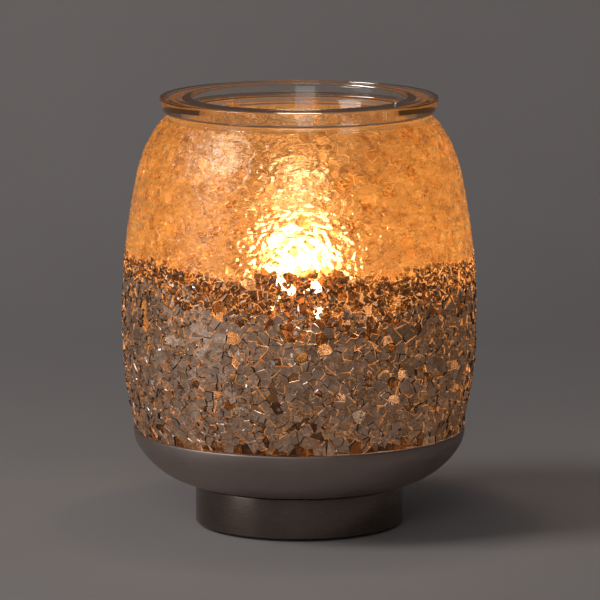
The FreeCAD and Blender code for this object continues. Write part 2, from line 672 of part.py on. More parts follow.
def lead(label, side):
    """Insulated lead: from its terminal, in and down the stem, and out to its splice."""
    body = doc.addObject("PartDesign::Body", "Body_" + label)
    start = (f"{side}*lead_start_x", "terminal_head_z")
    sway_z = "terminal_head_z - lead_straight"
    drop = "lead_sway*sqrt(1 - (1 - (lead_start_x - lead_x)/(2*lead_sway))^2)"
    spine = sketch_path(body, "Route_" + label, [
        start,
        (start[0], sway_z),
        (f"{side}*(lead_start_x + lead_x)/2", f"{sway_z} - {drop}", "lead_sway", -side),
        (f"{side}*lead_x", f"{sway_z} - 2*{drop}", "lead_sway", side),
        (f"{side}*lead_x", "lead_low_z + lead_bend"),
        (f"{side}*(lead_x + lead_bend)", "lead_low_z", "lead_bend", side),
        (f"{side}*splice_x", "lead_low_z"),
    ], closed=False)
    section = body.newObject("Sketcher::SketchObject", "Section_" + label)
    section.AttachmentSupport = [(origin_plane(body, "XY_Plane"), "")]
    section.MapMode = "FlatFace"
    bind(section, {".AttachmentOffset.Base.z": start[1]})
    section.addGeometry(Part.Circle(FreeCAD.Vector(value(start[0]), 0, 0),
                                    FreeCAD.Vector(0, 0, 1), value("lead_r")), False)
    section.addConstraint(Sketcher.Constraint("PointOnObject", 0, 3, -1))
    away = section.addConstraint(Sketcher.Constraint("DistanceX", -1, 1, 0, 3, value(start[0])))
    section.setExpression(f"Constraints[{away}]", link(start[0]))
    girth = section.addConstraint(Sketcher.Constraint("Radius", 0, value("lead_r")))
    section.setExpression(f"Constraints[{girth}]", link("lead_r"))
    pipe = body.newObject("PartDesign::AdditivePipe", "Pipe_" + label)
    pipe.Profile = section
    pipe.Spine = (spine, [])
    return subpart(body, label)


def splice_caps():
    """Closed-end caps that crimp the leads to the cord's conductors."""
    caps = []
    for index, side in enumerate((1, -1)):
        caps.append(turn(cylinder(f"Splice{index}", "splice_r", "splice_long",
                                  x=f"{side}*splice_x", z="lead_low_z"), (0, 1, 0), 90 * side))
    return subpart(group("Splices", caps), "splice_caps")


# ---------------------------------------------------------------- lamp
def bulb_cap():
    """Threaded brass cap of the lamp, open below for the insulator, with a plain skirt."""
    outside, inside = [], []
    for ridge in range(THREAD_TURNS):
        middle = f"lamp_cap_z + {ridge}*thread_pitch + thread_mid"
        for radius, height in (("thread_root_r", f"{middle} - thread_root"),
                               ("thread_crest_r", f"{middle} - thread_crest"),
                               ("thread_crest_r", f"{middle} + thread_crest"),
                               ("thread_root_r", f"{middle} + thread_root")):
            outside.append((radius, height))
            inside.append((f"{radius} - cap_wall", height))
    return subpart(turned("bulb_cap", [
        ("thread_root_r - cap_wall", "lamp_cap_z"),
        ("thread_root_r", "lamp_cap_z"),
        *outside,
        ("lamp_skirt_r", "lamp_skirt_z"),
        ("lamp_skirt_r", "lamp_cap_top_z"),
        ("lamp_skirt_r - cap_wall", "lamp_cap_top_z"),
        ("lamp_skirt_r - cap_wall", "lamp_skirt_z"),
        *reversed(inside),
    ]), "bulb_cap")


def bulb_insulator():
    """Black glass between the cap and the tip contact."""
    return subpart(turned("bulb_insulator", [
        (ZERO, "lamp_tip_z + lamp_tip_high"),
        ("lamp_tip_r + insulator_land", "lamp_tip_z + lamp_tip_high"),
        ("thread_root_r - cap_wall", "lamp_cap_z"),
        ("thread_root_r - cap_wall", "lamp_cap_z + insulator_high"),
        (ZERO, "lamp_cap_z + insulator_high"),
    ]), "bulb_insulator")


def bulb_tip_contact():
    return subpart(turned("bulb_tip_contact", [
        (ZERO, "lamp_tip_z"),
        ("lamp_tip_r - lamp_tip_round", "lamp_tip_z"),
        ("lamp_tip_r", "lamp_tip_z + lamp_tip_round", "lamp_tip_round", 1),
        ("lamp_tip_r", "lamp_tip_z + lamp_tip_high"),
        (ZERO, "lamp_tip_z + lamp_tip_high"),
    ]), "bulb_tip_contact")


def bulb_outline(inset):
    """Corners of the bulb's wall from its neck to its top, inset from the outside."""
    mid_r = "(bulb_r + bulb_neck_r)/2"
    mid_z = "(bulb_flare_z + bulb_full_z)/2"
    return [
        (f"bulb_neck_r - {inset}", "bulb_low_z"),
        (f"bulb_neck_r - {inset}", "bulb_flare_z"),
        (f"{mid_r} - {inset}*cos(flare_lean)", f"{mid_z} + {inset}*sin(flare_lean)",
         f"flare_arc + {inset}", -1),
        (f"bulb_r - {inset}", "bulb_full_z", f"flare_arc - {inset}", 1),
        (f"bulb_r - {inset}", "bulb_top_z - bulb_r"),
        (ZERO, f"bulb_top_z - {inset}", f"bulb_r - {inset}", 1),
    ]


def bulb_glass():
    """Pygmy bulb: neck, flare, straight flank and a round top."""
    outside = bulb_outline(ZERO)
    inside = bulb_outline("bulb_wall")
    back = [inside[-1][:2]]
    for index in range(len(inside) - 1, 0, -1):
        spot, arrival = inside[index - 1][:2], inside[index][2:]
        back.append((*spot, arrival[0], -arrival[1]) if arrival else spot)
    return subpart(turned("bulb_glass", outside + back), "bulb_glass")


def bulb_mount():
    """Glass mount, flared out to the neck it is fused to, that the support wires stand on."""
    return subpart(turned("bulb_mount", [
        (ZERO, "bulb_low_z"),
        ("bulb_neck_r - bulb_wall", "bulb_low_z"),
        ("bulb_neck_r - bulb_wall", "bulb_low_z + mount_foot"),
        ("mount_r", "mount_low_z", "mount_arc", -1),
        ("mount_tip_r", "mount_top_z"),
        (ZERO, "mount_top_z"),
    ]), "bulb_mount")


def bulb_supports(mount, coil):
    """Wires from the top of the mount out to the filament's loop."""
    wires = []
    foot_z = "mount_top_z"
    for index, angle in enumerate(SUPPORTS):
        rise, run = value(f"filament_z - {foot_z}"), value("filament_ring_r - support_root_r")
        wire = cylinder(f"Support{index}", "support_r", math.hypot(rise, run),
                        f"support_root_r*cos({angle})", f"support_root_r*sin({angle})", foot_z)
        lean = math.degrees(math.atan2(run, rise))
        wire.Placement.Rotation = FreeCAD.Rotation(angle, 0, 0).multiply(
            FreeCAD.Rotation(FreeCAD.Vector(0, 1, 0), lean))
        wires.append(wire)
    return subpart(cut("Supports", group("Support_wires", wires), [mount, coil]), "bulb_supports")


def bulb_filament():
    """Coil bent into an open loop, level at the middle of the bulb."""
    loop = doc.addObject("Part::Torus", "Filament")
    bind(loop, {"Radius1": "filament_ring_r", "Radius2": "filament_coil_r"})
    loop.Angle3 = FILAMENT_SWEEP
    place(loop, z="filament_z")
    return subpart(loop, "bulb_filament")


# ---------------------------------------------------------------- build
wax_dish()
glass = shade_glass()
chip_coat_clear()
chip_coat_mirror()
shade_bead(glass)
base_cup()
foot_can()
cord_grommet()
bottom_cover()
cover_standoffs()
cover_screws()
rubber_feet()
threaded_nipple()
nut("upper_nut", "holder_low_z - nut_high")
nut("lower_nut", f"{CUP_UNDER} - sheet_wall - washer_wall - nut_high")
lock_washer()
holder_cap()
holder_sleeve()
holder_insert()
terminal_screws()
centre_contact()
side_contact()
lead("live_lead", 1)
lead("neutral_lead", -1)
splice_caps()
bulb_cap()
bulb_insulator()
bulb_tip_contact()
bulb_glass()
bulb_supports(bulb_mount(), bulb_filament())
doc.recompute()

# ---------------------------------------------------------------- check and write
failed = [item.Name for item in doc.Objects if {"Invalid", "Error"} & set(item.State)]
if failed:
    raise SystemExit(f"objects that failed: {failed}")
os.makedirs("parts", exist_ok=True)
for item in SUBPARTS:
    shape = item.Shape
    if shape.isNull() or not shape.isValid() or not shape.Solids:
        raise SystemExit(f"{item.Label} has no valid solid")
for item in SUBPARTS:
    item.Shape.exportStep(f"parts/{item.Label}.step")
    print(f"{item.Label:20s} {len(item.Shape.Solids)} solid(s) {item.Shape.Volume:10.1f} mm3")
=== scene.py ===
"""Looks of the lit wax warmer: crackle-glass shade, clear dish, satin metal base and a lit lamp.

Metres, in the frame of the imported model: +Z up, the camera on the -Y side.
"""
import json
import math
import random

import bmesh
import bpy
import numpy as np
from mathutils import Matrix, Vector, noise
from mathutils.geometry import delaunay_2d_cdt


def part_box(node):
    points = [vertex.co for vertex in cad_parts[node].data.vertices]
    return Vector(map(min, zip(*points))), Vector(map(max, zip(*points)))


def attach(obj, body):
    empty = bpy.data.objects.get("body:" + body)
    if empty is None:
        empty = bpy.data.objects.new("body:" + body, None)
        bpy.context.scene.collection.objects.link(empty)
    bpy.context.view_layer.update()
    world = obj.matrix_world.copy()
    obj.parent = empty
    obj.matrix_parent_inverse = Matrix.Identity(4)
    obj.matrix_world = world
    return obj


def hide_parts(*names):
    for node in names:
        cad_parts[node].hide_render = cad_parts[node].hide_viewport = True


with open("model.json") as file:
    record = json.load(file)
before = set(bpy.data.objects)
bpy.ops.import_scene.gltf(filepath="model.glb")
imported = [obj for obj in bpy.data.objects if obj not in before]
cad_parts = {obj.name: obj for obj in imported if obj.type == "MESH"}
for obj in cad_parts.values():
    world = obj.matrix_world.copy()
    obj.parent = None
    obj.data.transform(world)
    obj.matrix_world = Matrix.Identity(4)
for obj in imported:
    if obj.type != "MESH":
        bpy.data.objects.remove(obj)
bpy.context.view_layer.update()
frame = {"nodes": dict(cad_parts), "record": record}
MM = 0.001


# ---------------------------------------------------------------- node helpers
class Look:
    """A material and a short way to add nodes to it."""

    def __init__(self, name):
        self.material = bpy.data.materials.new(name)
        self.material.use_nodes = True
        self.tree = self.material.node_tree
        self.tree.nodes.clear()
        self.output = self.tree.nodes.new("ShaderNodeOutputMaterial")

    def add(self, kind, settings=None, **inputs):
        """A node; settings are its properties, inputs its sockets, a value or another socket."""
        node = self.tree.nodes.new("ShaderNode" + kind)
        for name, value in (settings or {}).items():
            setattr(node, name, value)
        for name, value in inputs.items():
            self.plug(node.inputs[name.replace("_", " ")], value)
        return node

    def plug(self, socket, value):
        if isinstance(value, bpy.types.NodeSocket):
            self.tree.links.new(value, socket)
        else:
            socket.default_value = value

    def place(self):
        """Object-space position."""
        return self.add("TexCoord").outputs["Object"]

    def stretch(self, scale):
        """Object-space position scaled along X, Y and Z."""
        return self.add("Mapping", Vector=self.place(), Scale=scale).outputs["Vector"]

    def noise(self, scale, detail=3.0, roughness=0.5, vector=None, distortion=0.0):
        node = self.add("TexNoise", Vector=vector or self.place(), Scale=scale, Detail=detail,
                        Roughness=roughness, Distortion=distortion)
        return node.outputs["Fac"]

    def height(self):
        return self.add("SeparateXYZ", Vector=self.place()).outputs["Z"]

    def crinkle(self, scale, width, low, high, vector=None):
        """low along thin wandering lines that come and go, high between them."""
        wave = self.noise(scale, 3.0, 0.55, vector, 1.2)
        off_line = self.math("ABSOLUTE", self.math("SUBTRACT", wave, 0.5))
        line = self.span(off_line, 0.0, width, low - high, 0.0)
        patch = self.span(self.noise(scale * 0.5, 1.0), 0.44, 0.56, 0.0, 1.0)
        return self.math("ADD", self.math("MULTIPLY", line, patch), high)

    def math(self, operation, first, second=0.0):
        node = self.tree.nodes.new("ShaderNodeMath")
        node.operation = operation
        self.plug(node.inputs[0], first)
        self.plug(node.inputs[1], second)
        return node.outputs[0]

    def span(self, value, low, high, to_low, to_high):
        """value from low..high mapped to to_low..to_high, clamped."""
        node = self.add("MapRange", Value=value)
        for name, limit in (("From Min", low), ("From Max", high),
                            ("To Min", to_low), ("To Max", to_high)):
            node.inputs[name].default_value = limit
        return node.outputs["Result"]

    def blend(self, factor, first, second):
        """Mix of two colours."""
        node = self.tree.nodes.new("ShaderNodeMix")
        node.data_type = "RGBA"
        self.plug(node.inputs["Factor"], factor)
        self.plug(node.inputs["A"], first)
        self.plug(node.inputs["B"], second)
        return node.outputs["Result"]

    def bump(self, height, strength, distance):
        node = self.add("Bump", Height=height, Strength=strength, Distance=distance)
        return node.outputs["Normal"]

    def principled(self, **inputs):
        return self.add("BsdfPrincipled", **inputs)

    def finish(self, shader):
        self.tree.links.new(shader.outputs[0], self.output.inputs["Surface"])
        return self.material


def rgb(red, green, blue):
    return (red, green, blue, 1.0)


# ---------------------------------------------------------------- mesh helpers
def arc(centre, radius, start, end, steps):
    """Points (radius, height) on an arc, angles in degrees."""
    return [(centre[0] + radius * math.cos(math.radians(start + (end - start) * i / steps)),
             centre[1] + radius * math.sin(math.radians(start + (end - start) * i / steps)))
            for i in range(steps + 1)]


def lathe(name, outline, segments=192, closed=True):
    """A surface of revolution about Z through (radius, height) points."""
    points = [Vector(point) for point in outline]
    verts, rings = [], []
    for radius, height in points:
        if radius < 1e-7:
            rings.append([len(verts)])
            verts.append((0, 0, height))
            continue
        rings.append(list(range(len(verts), len(verts) + segments)))
        for step in range(segments):
            angle = math.tau * step / segments
            verts.append((radius * math.cos(angle), radius * math.sin(angle), height))
    faces = []
    count = len(points)
    for index in range(count if closed else count - 1):
        low, high = rings[index], rings[(index + 1) % count]
        for step in range(segments):
            after = (step + 1) % segments
            if len(low) == 1 and len(high) == 1:
                break
            if len(low) == 1:
                faces.append((low[0], high[after], high[step]))
            elif len(high) == 1:
                faces.append((low[step], low[after], high[0]))
            else:
                faces.append((low[step], low[after], high[after], high[step]))
    return mesh_object(name, verts, faces)


def mesh_object(name, verts, faces, smooth_degrees=30):
    mesh = bpy.data.meshes.new(name)
    mesh.from_pydata([tuple(v) for v in verts], [], faces)
    mesh.validate()
    build = bmesh.new()
    build.from_mesh(mesh)
    bmesh.ops.recalc_face_normals(build, faces=build.faces)
    limit = math.radians(smooth_degrees)
    for face in build.faces:
        face.smooth = True
    for edge in build.edges:
        edge.smooth = len(edge.link_faces) == 2 and edge.calc_face_angle(0) < limit
    build.to_mesh(mesh)
    build.free()
    piece = bpy.data.objects.new(name, mesh)
    bpy.context.scene.collection.objects.link(piece)
    return piece


def show(piece, body, slot, material, *nodes):
    """Give a piece its body and material, and hide the CAD nodes it stands for; slot is not used."""
    piece.data.materials.append(material)
    if nodes:
        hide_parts(*nodes)
    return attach(piece, body)


# ---------------------------------------------------------------- shape of the barrel
BELLY_R, BELLY_Z = 63.6 * MM, 72 * MM
UPPER_ARC, LOWER_ARC, SHOULDER_ARC = 260 * MM, 142 * MM, 47.7 * MM
UPPER_TURN, SHOULDER_TURN = math.radians(12), math.radians(40.4)
UPPER_AXIS = (BELLY_R - UPPER_ARC, BELLY_Z)
LOWER_AXIS = (BELLY_R - LOWER_ARC, BELLY_Z)
SHOULDER_AXIS = (UPPER_AXIS[0] + (UPPER_ARC - SHOULDER_ARC) * math.cos(UPPER_TURN),
                 UPPER_AXIS[1] + (UPPER_ARC - SHOULDER_ARC) * math.sin(UPPER_TURN))
CHIP_COAT, SHADE_WALL = 1.5 * MM, 2.5 * MM
BORDER_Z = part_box("chip_coat_mirror")[1].z
CHIPS_LOW_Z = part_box("chip_coat_mirror")[0].z
CHIPS_TOP_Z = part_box("chip_coat_clear")[1].z
LAMP_Z = 95 * MM


def barrel(height, inset=0.0):
    """Radius and outward slope (degrees above level) of the barrel at a height."""
    if height < BELLY_Z:
        axis, radius = LOWER_AXIS, LOWER_ARC - inset
    elif height < SHOULDER_AXIS[1] + (SHOULDER_ARC - inset) * math.sin(UPPER_TURN):
        axis, radius = UPPER_AXIS, UPPER_ARC - inset
    else:
        axis, radius = SHOULDER_AXIS, SHOULDER_ARC - inset
    rise = height - axis[1]
    run = math.sqrt(radius ** 2 - rise ** 2)
    return axis[0] + run, math.atan2(rise, run)


# ---------------------------------------------------------------- crushed glass chips
class Chips:
    """Collects shards of crushed glass, each with a narrow bevelled rim, as one mesh."""

    def __init__(self):
        self.verts, self.faces, self.looks = [], [], []

    def add(self, corners, seat, lift, thick, bevel, face_look, rim_looks):
        """One shard: corners (x, y) in its own plane, seat its spot and axes on the glass."""
        spot, across, up, out = seat
        count = len(corners)
        middle = sum((Vector(corner) for corner in corners), Vector((0, 0))) / count
        start = len(self.verts)
        rings = ((0, 0), (0, thick - bevel), (bevel, thick)) if bevel else ((0, 0), (0, thick))
        for inset, height in rings:
            for corner in corners:
                toward = middle - Vector(corner)
                flat = Vector(corner) + toward * min(inset / max(toward.length, 1e-6), 0.6)
                self.verts.append(spot + across * flat.x + up * flat.y + out * (lift + height))
        rows = [range(start + k * count, start + (k + 1) * count) for k in range(len(rings))]
        self.face(tuple(reversed(rows[0])), face_look)
        self.face(tuple(rows[-1]), face_look)
        for index in range(count):
            after = (index + 1) % count
            look = rim_looks[index % len(rim_looks)]
            for low, high in zip(rows, rows[1:]):
                self.face((low[index], low[after], high[after], high[index]), look)

    def face(self, corners, look):
        self.faces.append(corners)
        self.looks.append(look)

    def piece(self, name, slot, materials, *nodes):
        mesh = bpy.data.meshes.new(name)
        mesh.from_pydata(self.verts, [], self.faces)
        mesh.polygons.foreach_set("material_index", np.array(self.looks, np.int32))
        piece = bpy.data.objects.new(name, mesh)
        bpy.context.scene.collection.objects.link(piece)
        for material in materials:
            mesh.materials.append(material)
        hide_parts(*nodes)
        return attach(piece, "warmer")


GIRTH = 0.060                    # radius at which angle is unrolled into width
LOW_Z, HIGH_Z = CHIPS_LOW_Z + 0.4 * MM, CHIPS_TOP_Z - 0.6 * MM
HEIGHTS = np.linspace(LOW_Z, HIGH_Z, 400)
RUNS = np.concatenate([[0], np.cumsum(np.hypot(
    np.diff(HEIGHTS), np.diff([barrel(z)[0] for z in HEIGHTS])))])
WIDTH, LENGTH = math.tau * GIRTH, float(RUNS[-1])
BUCKET = 2 * MM


def scatter(rng, largest, smallest, tries):
    """Unrolled points thrown at random, the roomiest first, each clear of the others' room."""
    points, buckets = [], {}
    for index in range(tries):
        room = largest * (smallest / largest) ** ((index / tries) ** 0.35)
        x, y = rng.uniform(0, WIDTH), rng.uniform(0, LENGTH)
        column, row = int(x / BUCKET), int(y / BUCKET)
        reach = int((room + largest) / 2 / BUCKET) + 1
        near = (other for i in range(-reach, reach + 1) for j in range(-reach, reach + 1)
                for other in buckets.get((column + i, row + j), ()))
        if all(math.hypot(x - a, y - b) > (room + other) / 2 for a, b, other in near):
            points.append((x, y))
            buckets.setdefault((column, row), []).append((x, y, room))
    return points


def cells(points, margin):
    """Voronoi cells of the unrolled points: (centre, corners), wrapped round the seam."""
    wrapped = list(points)
    wrapped += [(x + WIDTH, y) for x, y in points if x < margin]
    wrapped += [(x - WIDTH, y) for x, y in points if x > WIDTH - margin]
    wrapped += [(x, -y - 2 * MM) for x, y in wrapped if y < margin]
    wrapped += [(x, 2 * LENGTH - y + 2 * MM) for x, y in wrapped if y > LENGTH - margin]
    verts, _, triangles, *_ = delaunay_2d_cdt([Vector(p) for p in wrapped], [], [], 0, 1e-9)
    around = {}
    for a, b, c in triangles:
        centre = circumcentre(verts[a], verts[b], verts[c])
        for vertex in (a, b, c):
            around.setdefault(vertex, []).append(centre)
    places = {tuple(round(value, 7) for value in point) for point in points}
    for vertex, corners in sorted(around.items()):
        middle = verts[vertex]
        if tuple(round(value, 7) for value in middle) not in places or len(corners) < 3:
            continue
        corners.sort(key=lambda c: math.atan2(c[1] - middle.y, c[0] - middle.x))
        yield middle, [(c[0] - middle.x, c[1] - middle.y) for c in corners]


def circumcentre(a, b, c):
    bx, by, cx, cy = b.x - a.x, b.y - a.y, c.x - a.x, c.y - a.y
    twice = 2 * (bx * cy - by * cx)
    if abs(twice) < 1e-14:
        return ((a.x + b.x + c.x) / 3, (a.y + b.y + c.y) / 3)
    b2, c2 = bx * bx + by * by, cx * cx + cy * cy
    return (a.x + (cy * b2 - by * c2) / twice, a.y + (bx * c2 - cx * b2) / twice)


def trimmed(corners, facing, offset):
    """The part of a convex outline on one side of a line."""
    kept = []
    for index, corner in enumerate(corners):
        before = corners[index - 1]
        here = corner[0] * facing[0] + corner[1] * facing[1] - offset
        there = before[0] * facing[0] + before[1] * facing[1] - offset
        if here * there < 0:
            share = there / (there - here)
            kept.append(tuple(b + (c - b) * share for b, c in zip(before, corner)))
        if here >= 0:
            kept.append(corner)
    return kept


def broken(rng, corners, chance, least):
    """An outline, or the pieces it breaks into along chords near its middle."""
    size = max(math.hypot(*corner) for corner in corners)
    if size < least or rng.random() > chance:
        return [corners]
    angle = rng.uniform(0, math.tau)
    facing = (math.cos(angle), math.sin(angle))
    offset = rng.uniform(-0.25, 0.25) * size
    halves = (trimmed(corners, facing, offset),
              trimmed(corners, (-facing[0], -facing[1]), -offset))
    return [piece for half in halves if len(half) >= 3
            for piece in broken(rng, half, chance * 0.6, least)]


def shard(corners, grow, longest):
    """An outline without its short sides, grown about its middle: (middle, corners)."""
    count = len(corners)
    middle = (sum(c[0] for c in corners) / count, sum(c[1] for c in corners) / count)
    flat = [(x - middle[0], y - middle[1]) for x, y in corners]
    mean = sum(math.hypot(*c) for c in flat) / count
    shape = []
    for corner in flat:
        if shape and math.dist(shape[-1], corner) < 0.4 * mean:
            continue
        scale = min(grow, longest / max(math.hypot(*corner), 1e-6))
        shape.append((corner[0] * scale, corner[1] * scale))
    return middle, shape


def flake(rng, size):
    """Outline of a loose angular flake."""
    count = rng.choice((3, 4, 4, 5, 5, 6))
    squat, turn = rng.uniform(0.5, 1.0), rng.uniform(0, math.tau)
    shape = []
    for index in range(count):
        angle = math.tau * (index + rng.uniform(-0.3, 0.3)) / count
        x, y = size * math.cos(angle), size * squat * math.sin(angle)
        shape.append((x * math.cos(turn) - y * math.sin(turn),
                      x * math.sin(turn) + y * math.cos(turn)))
    return shape


def seat_at(x, y, tilt, toward):
    """Spot and axes on the glass under an unrolled point, leaning by tilt."""
    height = float(np.interp(y, RUNS, HEIGHTS))
    radius, slope = barrel(height)
    angle = x / GIRTH
    out = Vector((math.cos(angle) * math.cos(slope), math.sin(angle) * math.cos(slope),
                  math.sin(slope)))
    across = Vector((-math.sin(angle), math.cos(angle), 0))
    up = out.cross(across)
    spot = Vector((radius * math.cos(angle), radius * math.sin(angle), height)) - out * CHIP_COAT
    lean = Matrix.Rotation(tilt, 3, across * math.cos(toward) + up * math.sin(toward))
    return (spot, lean @ across, lean @ up, lean @ out), radius / GIRTH


def border(angle):
    """Uneven height where mirrored chips give way to clear ones."""
    return BORDER_Z + MM * (1.1 * math.sin(2 * angle + 0.6) + 0.6 * math.sin(3 * angle - 1.0)
                            + 0.8 * math.sin(7 * angle) - 0.4)


CLEAR_CHIP_SHARE = 0.2            # of the chips above the border that stand out of the skin


def make_clear_skin():
    """Clear chips melted into one wrinkled skin above the border."""
    columns, rows, back_rows = 640, 96, 12

    def spot(column, share, thick):
        angle = math.tau * column / columns
        low = border(angle) - 0.8 * MM
        height = low + (HIGH_Z - low) * share
        radius, slope = barrel(height)
        out = Vector((math.cos(angle) * math.cos(slope), math.sin(angle) * math.cos(slope),
                      math.sin(slope)))
        place = Vector((radius * math.cos(angle), radius * math.sin(angle), height))
        if thick:
            wander = noise.noise_vector(place * 260.0) * (1.1 * MM)
            squeezed = place + wander
            squeezed.z *= 1.7
            folds = 1.0 - 2.2 * abs(noise.noise(squeezed * 330.0))
            fine = 1.0 - 2.0 * abs(noise.noise(squeezed * 700.0))
            thick = (0.72 + 0.42 * folds + 0.16 * fine) * MM * min(1.0, 0.4 + 12 * (1 - share))
        return place - out * (CHIP_COAT - thick)

    verts = [spot(column, row / rows, 1) for row in range(rows + 1) for column in range(columns)]
    verts += [spot(column, 1 - row / back_rows, 0)
              for row in range(back_rows + 1) for column in range(columns)]
    rings = rows + back_rows + 2
    faces = [(ring * columns + column, ring * columns + (column + 1) % columns,
              (ring + 1) % rings * columns + (column + 1) % columns,
              (ring + 1) % rings * columns + column)
             for ring in range(rings) for column in range(columns)]
    return mesh_object("clear_skin", verts, faces, 60)


def amber_depth(angle):
    """How far down unsilvered amber chips mix with the mirrored ones."""
    return (6 + 12 * (0.5 + 0.5 * math.cos(2 * (angle + 1.4)))) * MM


# looks of a chip, as the places of its materials on its piece. The lit and dark rim looks are lit and
# shaded copies of a chip's edge, a painted glow and painted shade; the spark look is a bare silvered
# facet on mirrored and amber chips and a painted glint on clear ones.
FACE, DULL, SPARK_OR_PAINTED_GLINT, PAINTED_SHADE_RIM, LIT_RIM = range(5)


def lay_chips():
    clear, mirror, amber = Chips(), Chips(), Chips()
    rng = random.Random(11)

    def lay(x, y, shape, lift, thick, bevel, rise):
        size = max(math.hypot(*c) for c in shape)
        height = float(np.interp(y, RUNS, HEIGHTS))
        above = height - border(x / GIRTH) + rng.gauss(0, 0.9 * MM)
        if above > 1.2 * MM and rng.random() > CLEAR_CHIP_SHARE:
            return
        # nearness is highest just under the border and in a thin band above the cup's rim; there chips
        # are mostly amber and get more painted-lit rims
        nearness = max(math.exp(-(min(above, 0) / amber_depth(x / GIRTH)) ** 4),
                       0.8 * math.exp(-((height - LOW_Z) / (0.9 * MM)) ** 2))
        if above > 0:
            heap, lit, deep, rise = clear, 0.14, 0.12, 0.3 * rise
        elif rng.random() < 0.03 + 0.97 * nearness:
            heap, lit, deep = amber, 0.2 + 0.25 * nearness, 0.7
        else:
            heap, lit, deep = mirror, 0.22 + 0.35 * nearness, 0.5
        tilt = math.asin(min(rng.uniform(0.2, 1.0) * rise / size, 0.6))
        seat, girth = seat_at(x, y, tilt, rng.uniform(0, math.tau))
        shape = [(across * girth, up) for across, up in shape]
        # a few small chips take the spark look: bare silvered glass on mirrored and amber chips, a
        # painted glint on clear ones
        face = SPARK_OR_PAINTED_GLINT if size < 0.9 * MM and rng.random() < 0.06 else (
            DULL if rng.random() < (0.6 if heap is amber else 0.4) else FACE)
        # each rim side is painted lit (a painted glow) by the lit chance, else in painted shade by the
        # deep chance, else takes the face's look
        rims = [LIT_RIM if rng.random() < lit else PAINTED_SHADE_RIM if rng.random() < deep else face
                for _ in shape]
        heap.add(shape, seat, lift, thick * rng.uniform(0.7, 1.3), bevel, face, rims)

    for middle, corners in cells(scatter(rng, 5.4 * MM, 1.7 * MM, 40000), 14 * MM):
        depth = float(np.interp(middle.y, RUNS, HEIGHTS)) - border(middle.x / GIRTH)
        crushed = math.exp(-(depth / amber_depth(middle.x / GIRTH)) ** 2)
        for piece in broken(rng, corners, 0.5 + 0.4 * crushed, (1.3 - 0.4 * crushed) * MM):
            shift, shape = shard(piece, rng.uniform(0.94, 1.14), 3.6 * MM)
            if len(shape) >= 3:
                lay(middle.x + shift[0], middle.y + shift[1], shape,
                    rng.uniform(0.05, 0.25) * MM, 0.6 * MM, 0.28 * MM, 0.5 * MM)
    for _ in range(2600):
        x = rng.uniform(0, WIDTH)
        drop = rng.uniform(-0.1, 1.0) * amber_depth(x / GIRTH)
        lay(x, float(np.interp(border(x / GIRTH) - drop, HEIGHTS, RUNS)),
            flake(rng, rng.uniform(0.6, 1.5) * MM), rng.uniform(0.35, 0.9) * MM, 0.4 * MM,
            0.16 * MM, 0.9 * MM)
    for _ in range(1500):
        lay(rng.uniform(0, WIDTH), rng.uniform(0.01, 0.985) * LENGTH,
            flake(rng, rng.uniform(1.0, 2.3) * MM), rng.uniform(0.45, 0.8) * MM, 0.4 * MM,
            0.25 * MM, 0.5 * MM)
    for _ in range(4200):
        lay(rng.uniform(0, WIDTH), rng.uniform(0.005, 0.99) * LENGTH,
            flake(rng, rng.uniform(0.35, 0.95) * MM), rng.uniform(0.35, 1.0) * MM, 0.3 * MM,
            0, 0.4 * MM)
    return clear, mirror, amber


# ---------------------------------------------------------------- materials
# colours of the lamp's light, painted as a glow into the glass and chips
WARM = rgb(1.0, 0.36, 0.06)
PALE_WARM = rgb(1.0, 0.56, 0.20)


def lamp_light(look, share, low, dark, bright, squeeze=(1.0, 1.0, 1.0), wide=1.0):
    """Strength of the painted glow of the lamp's light in the glass against height, with thin darker
    lines and thin painted highlight lines in it.
    """
    height = look.height()
    above = look.span(height, BORDER_Z, CHIPS_TOP_Z, 1.08 * share, 0.70 * share)
    below = look.span(height, CHIPS_LOW_Z, BORDER_Z, low * share, 1.0 * share)
    place = look.stretch(squeeze)
    lines = look.math("MULTIPLY", look.crinkle(430.0, 0.035 * wide, dark, 1.0, place),
                      look.crinkle(330.0, 0.03 * wide, bright, 1.0, place))
    return look.math("MULTIPLY", look.math("MINIMUM", above, below), lines)


def glass_look(name, colour, roughness, bump=0.0, scale=300.0):
    look = Look(name)
    extra = {}
    if bump:
        extra["Normal"] = look.bump(look.noise(scale, 2.0), bump, 0.2 * MM)
    return look.finish(look.principled(
        Base_Color=colour, Roughness=roughness, IOR=1.5, Transmission_Weight=1.0, **extra))


def lit_glass_look(name, colour, roughness, share, light=WARM, ripple=0.3, low=0.3,
                   dark=0.5, bright=2.2, crack=None, squeeze=(1.0, 1.0, 1.0), wide=1.0,
                   shine=0.1):
    """Glass with the lamp's scattered light painted into it as a glow, and darker along its cracks."""
    look = Look(name)
    waves = look.noise(420.0, 2.5, 0.5, look.stretch(squeeze), 1.2)
    if crack:
        colour = look.blend(look.crinkle(480.0, 0.045, 0.0, 1.0, look.stretch(squeeze)),
                            crack, colour)
    return look.finish(look.principled(
        Base_Color=colour, Roughness=roughness, IOR=1.5, Specular_IOR_Level=shine,
        Transmission_Weight=1.0, Normal=look.bump(waves, ripple, 0.35 * MM),
        Emission_Color=light,
        Emission_Strength=lamp_light(look, share, low, dark, bright, squeeze, wide)))


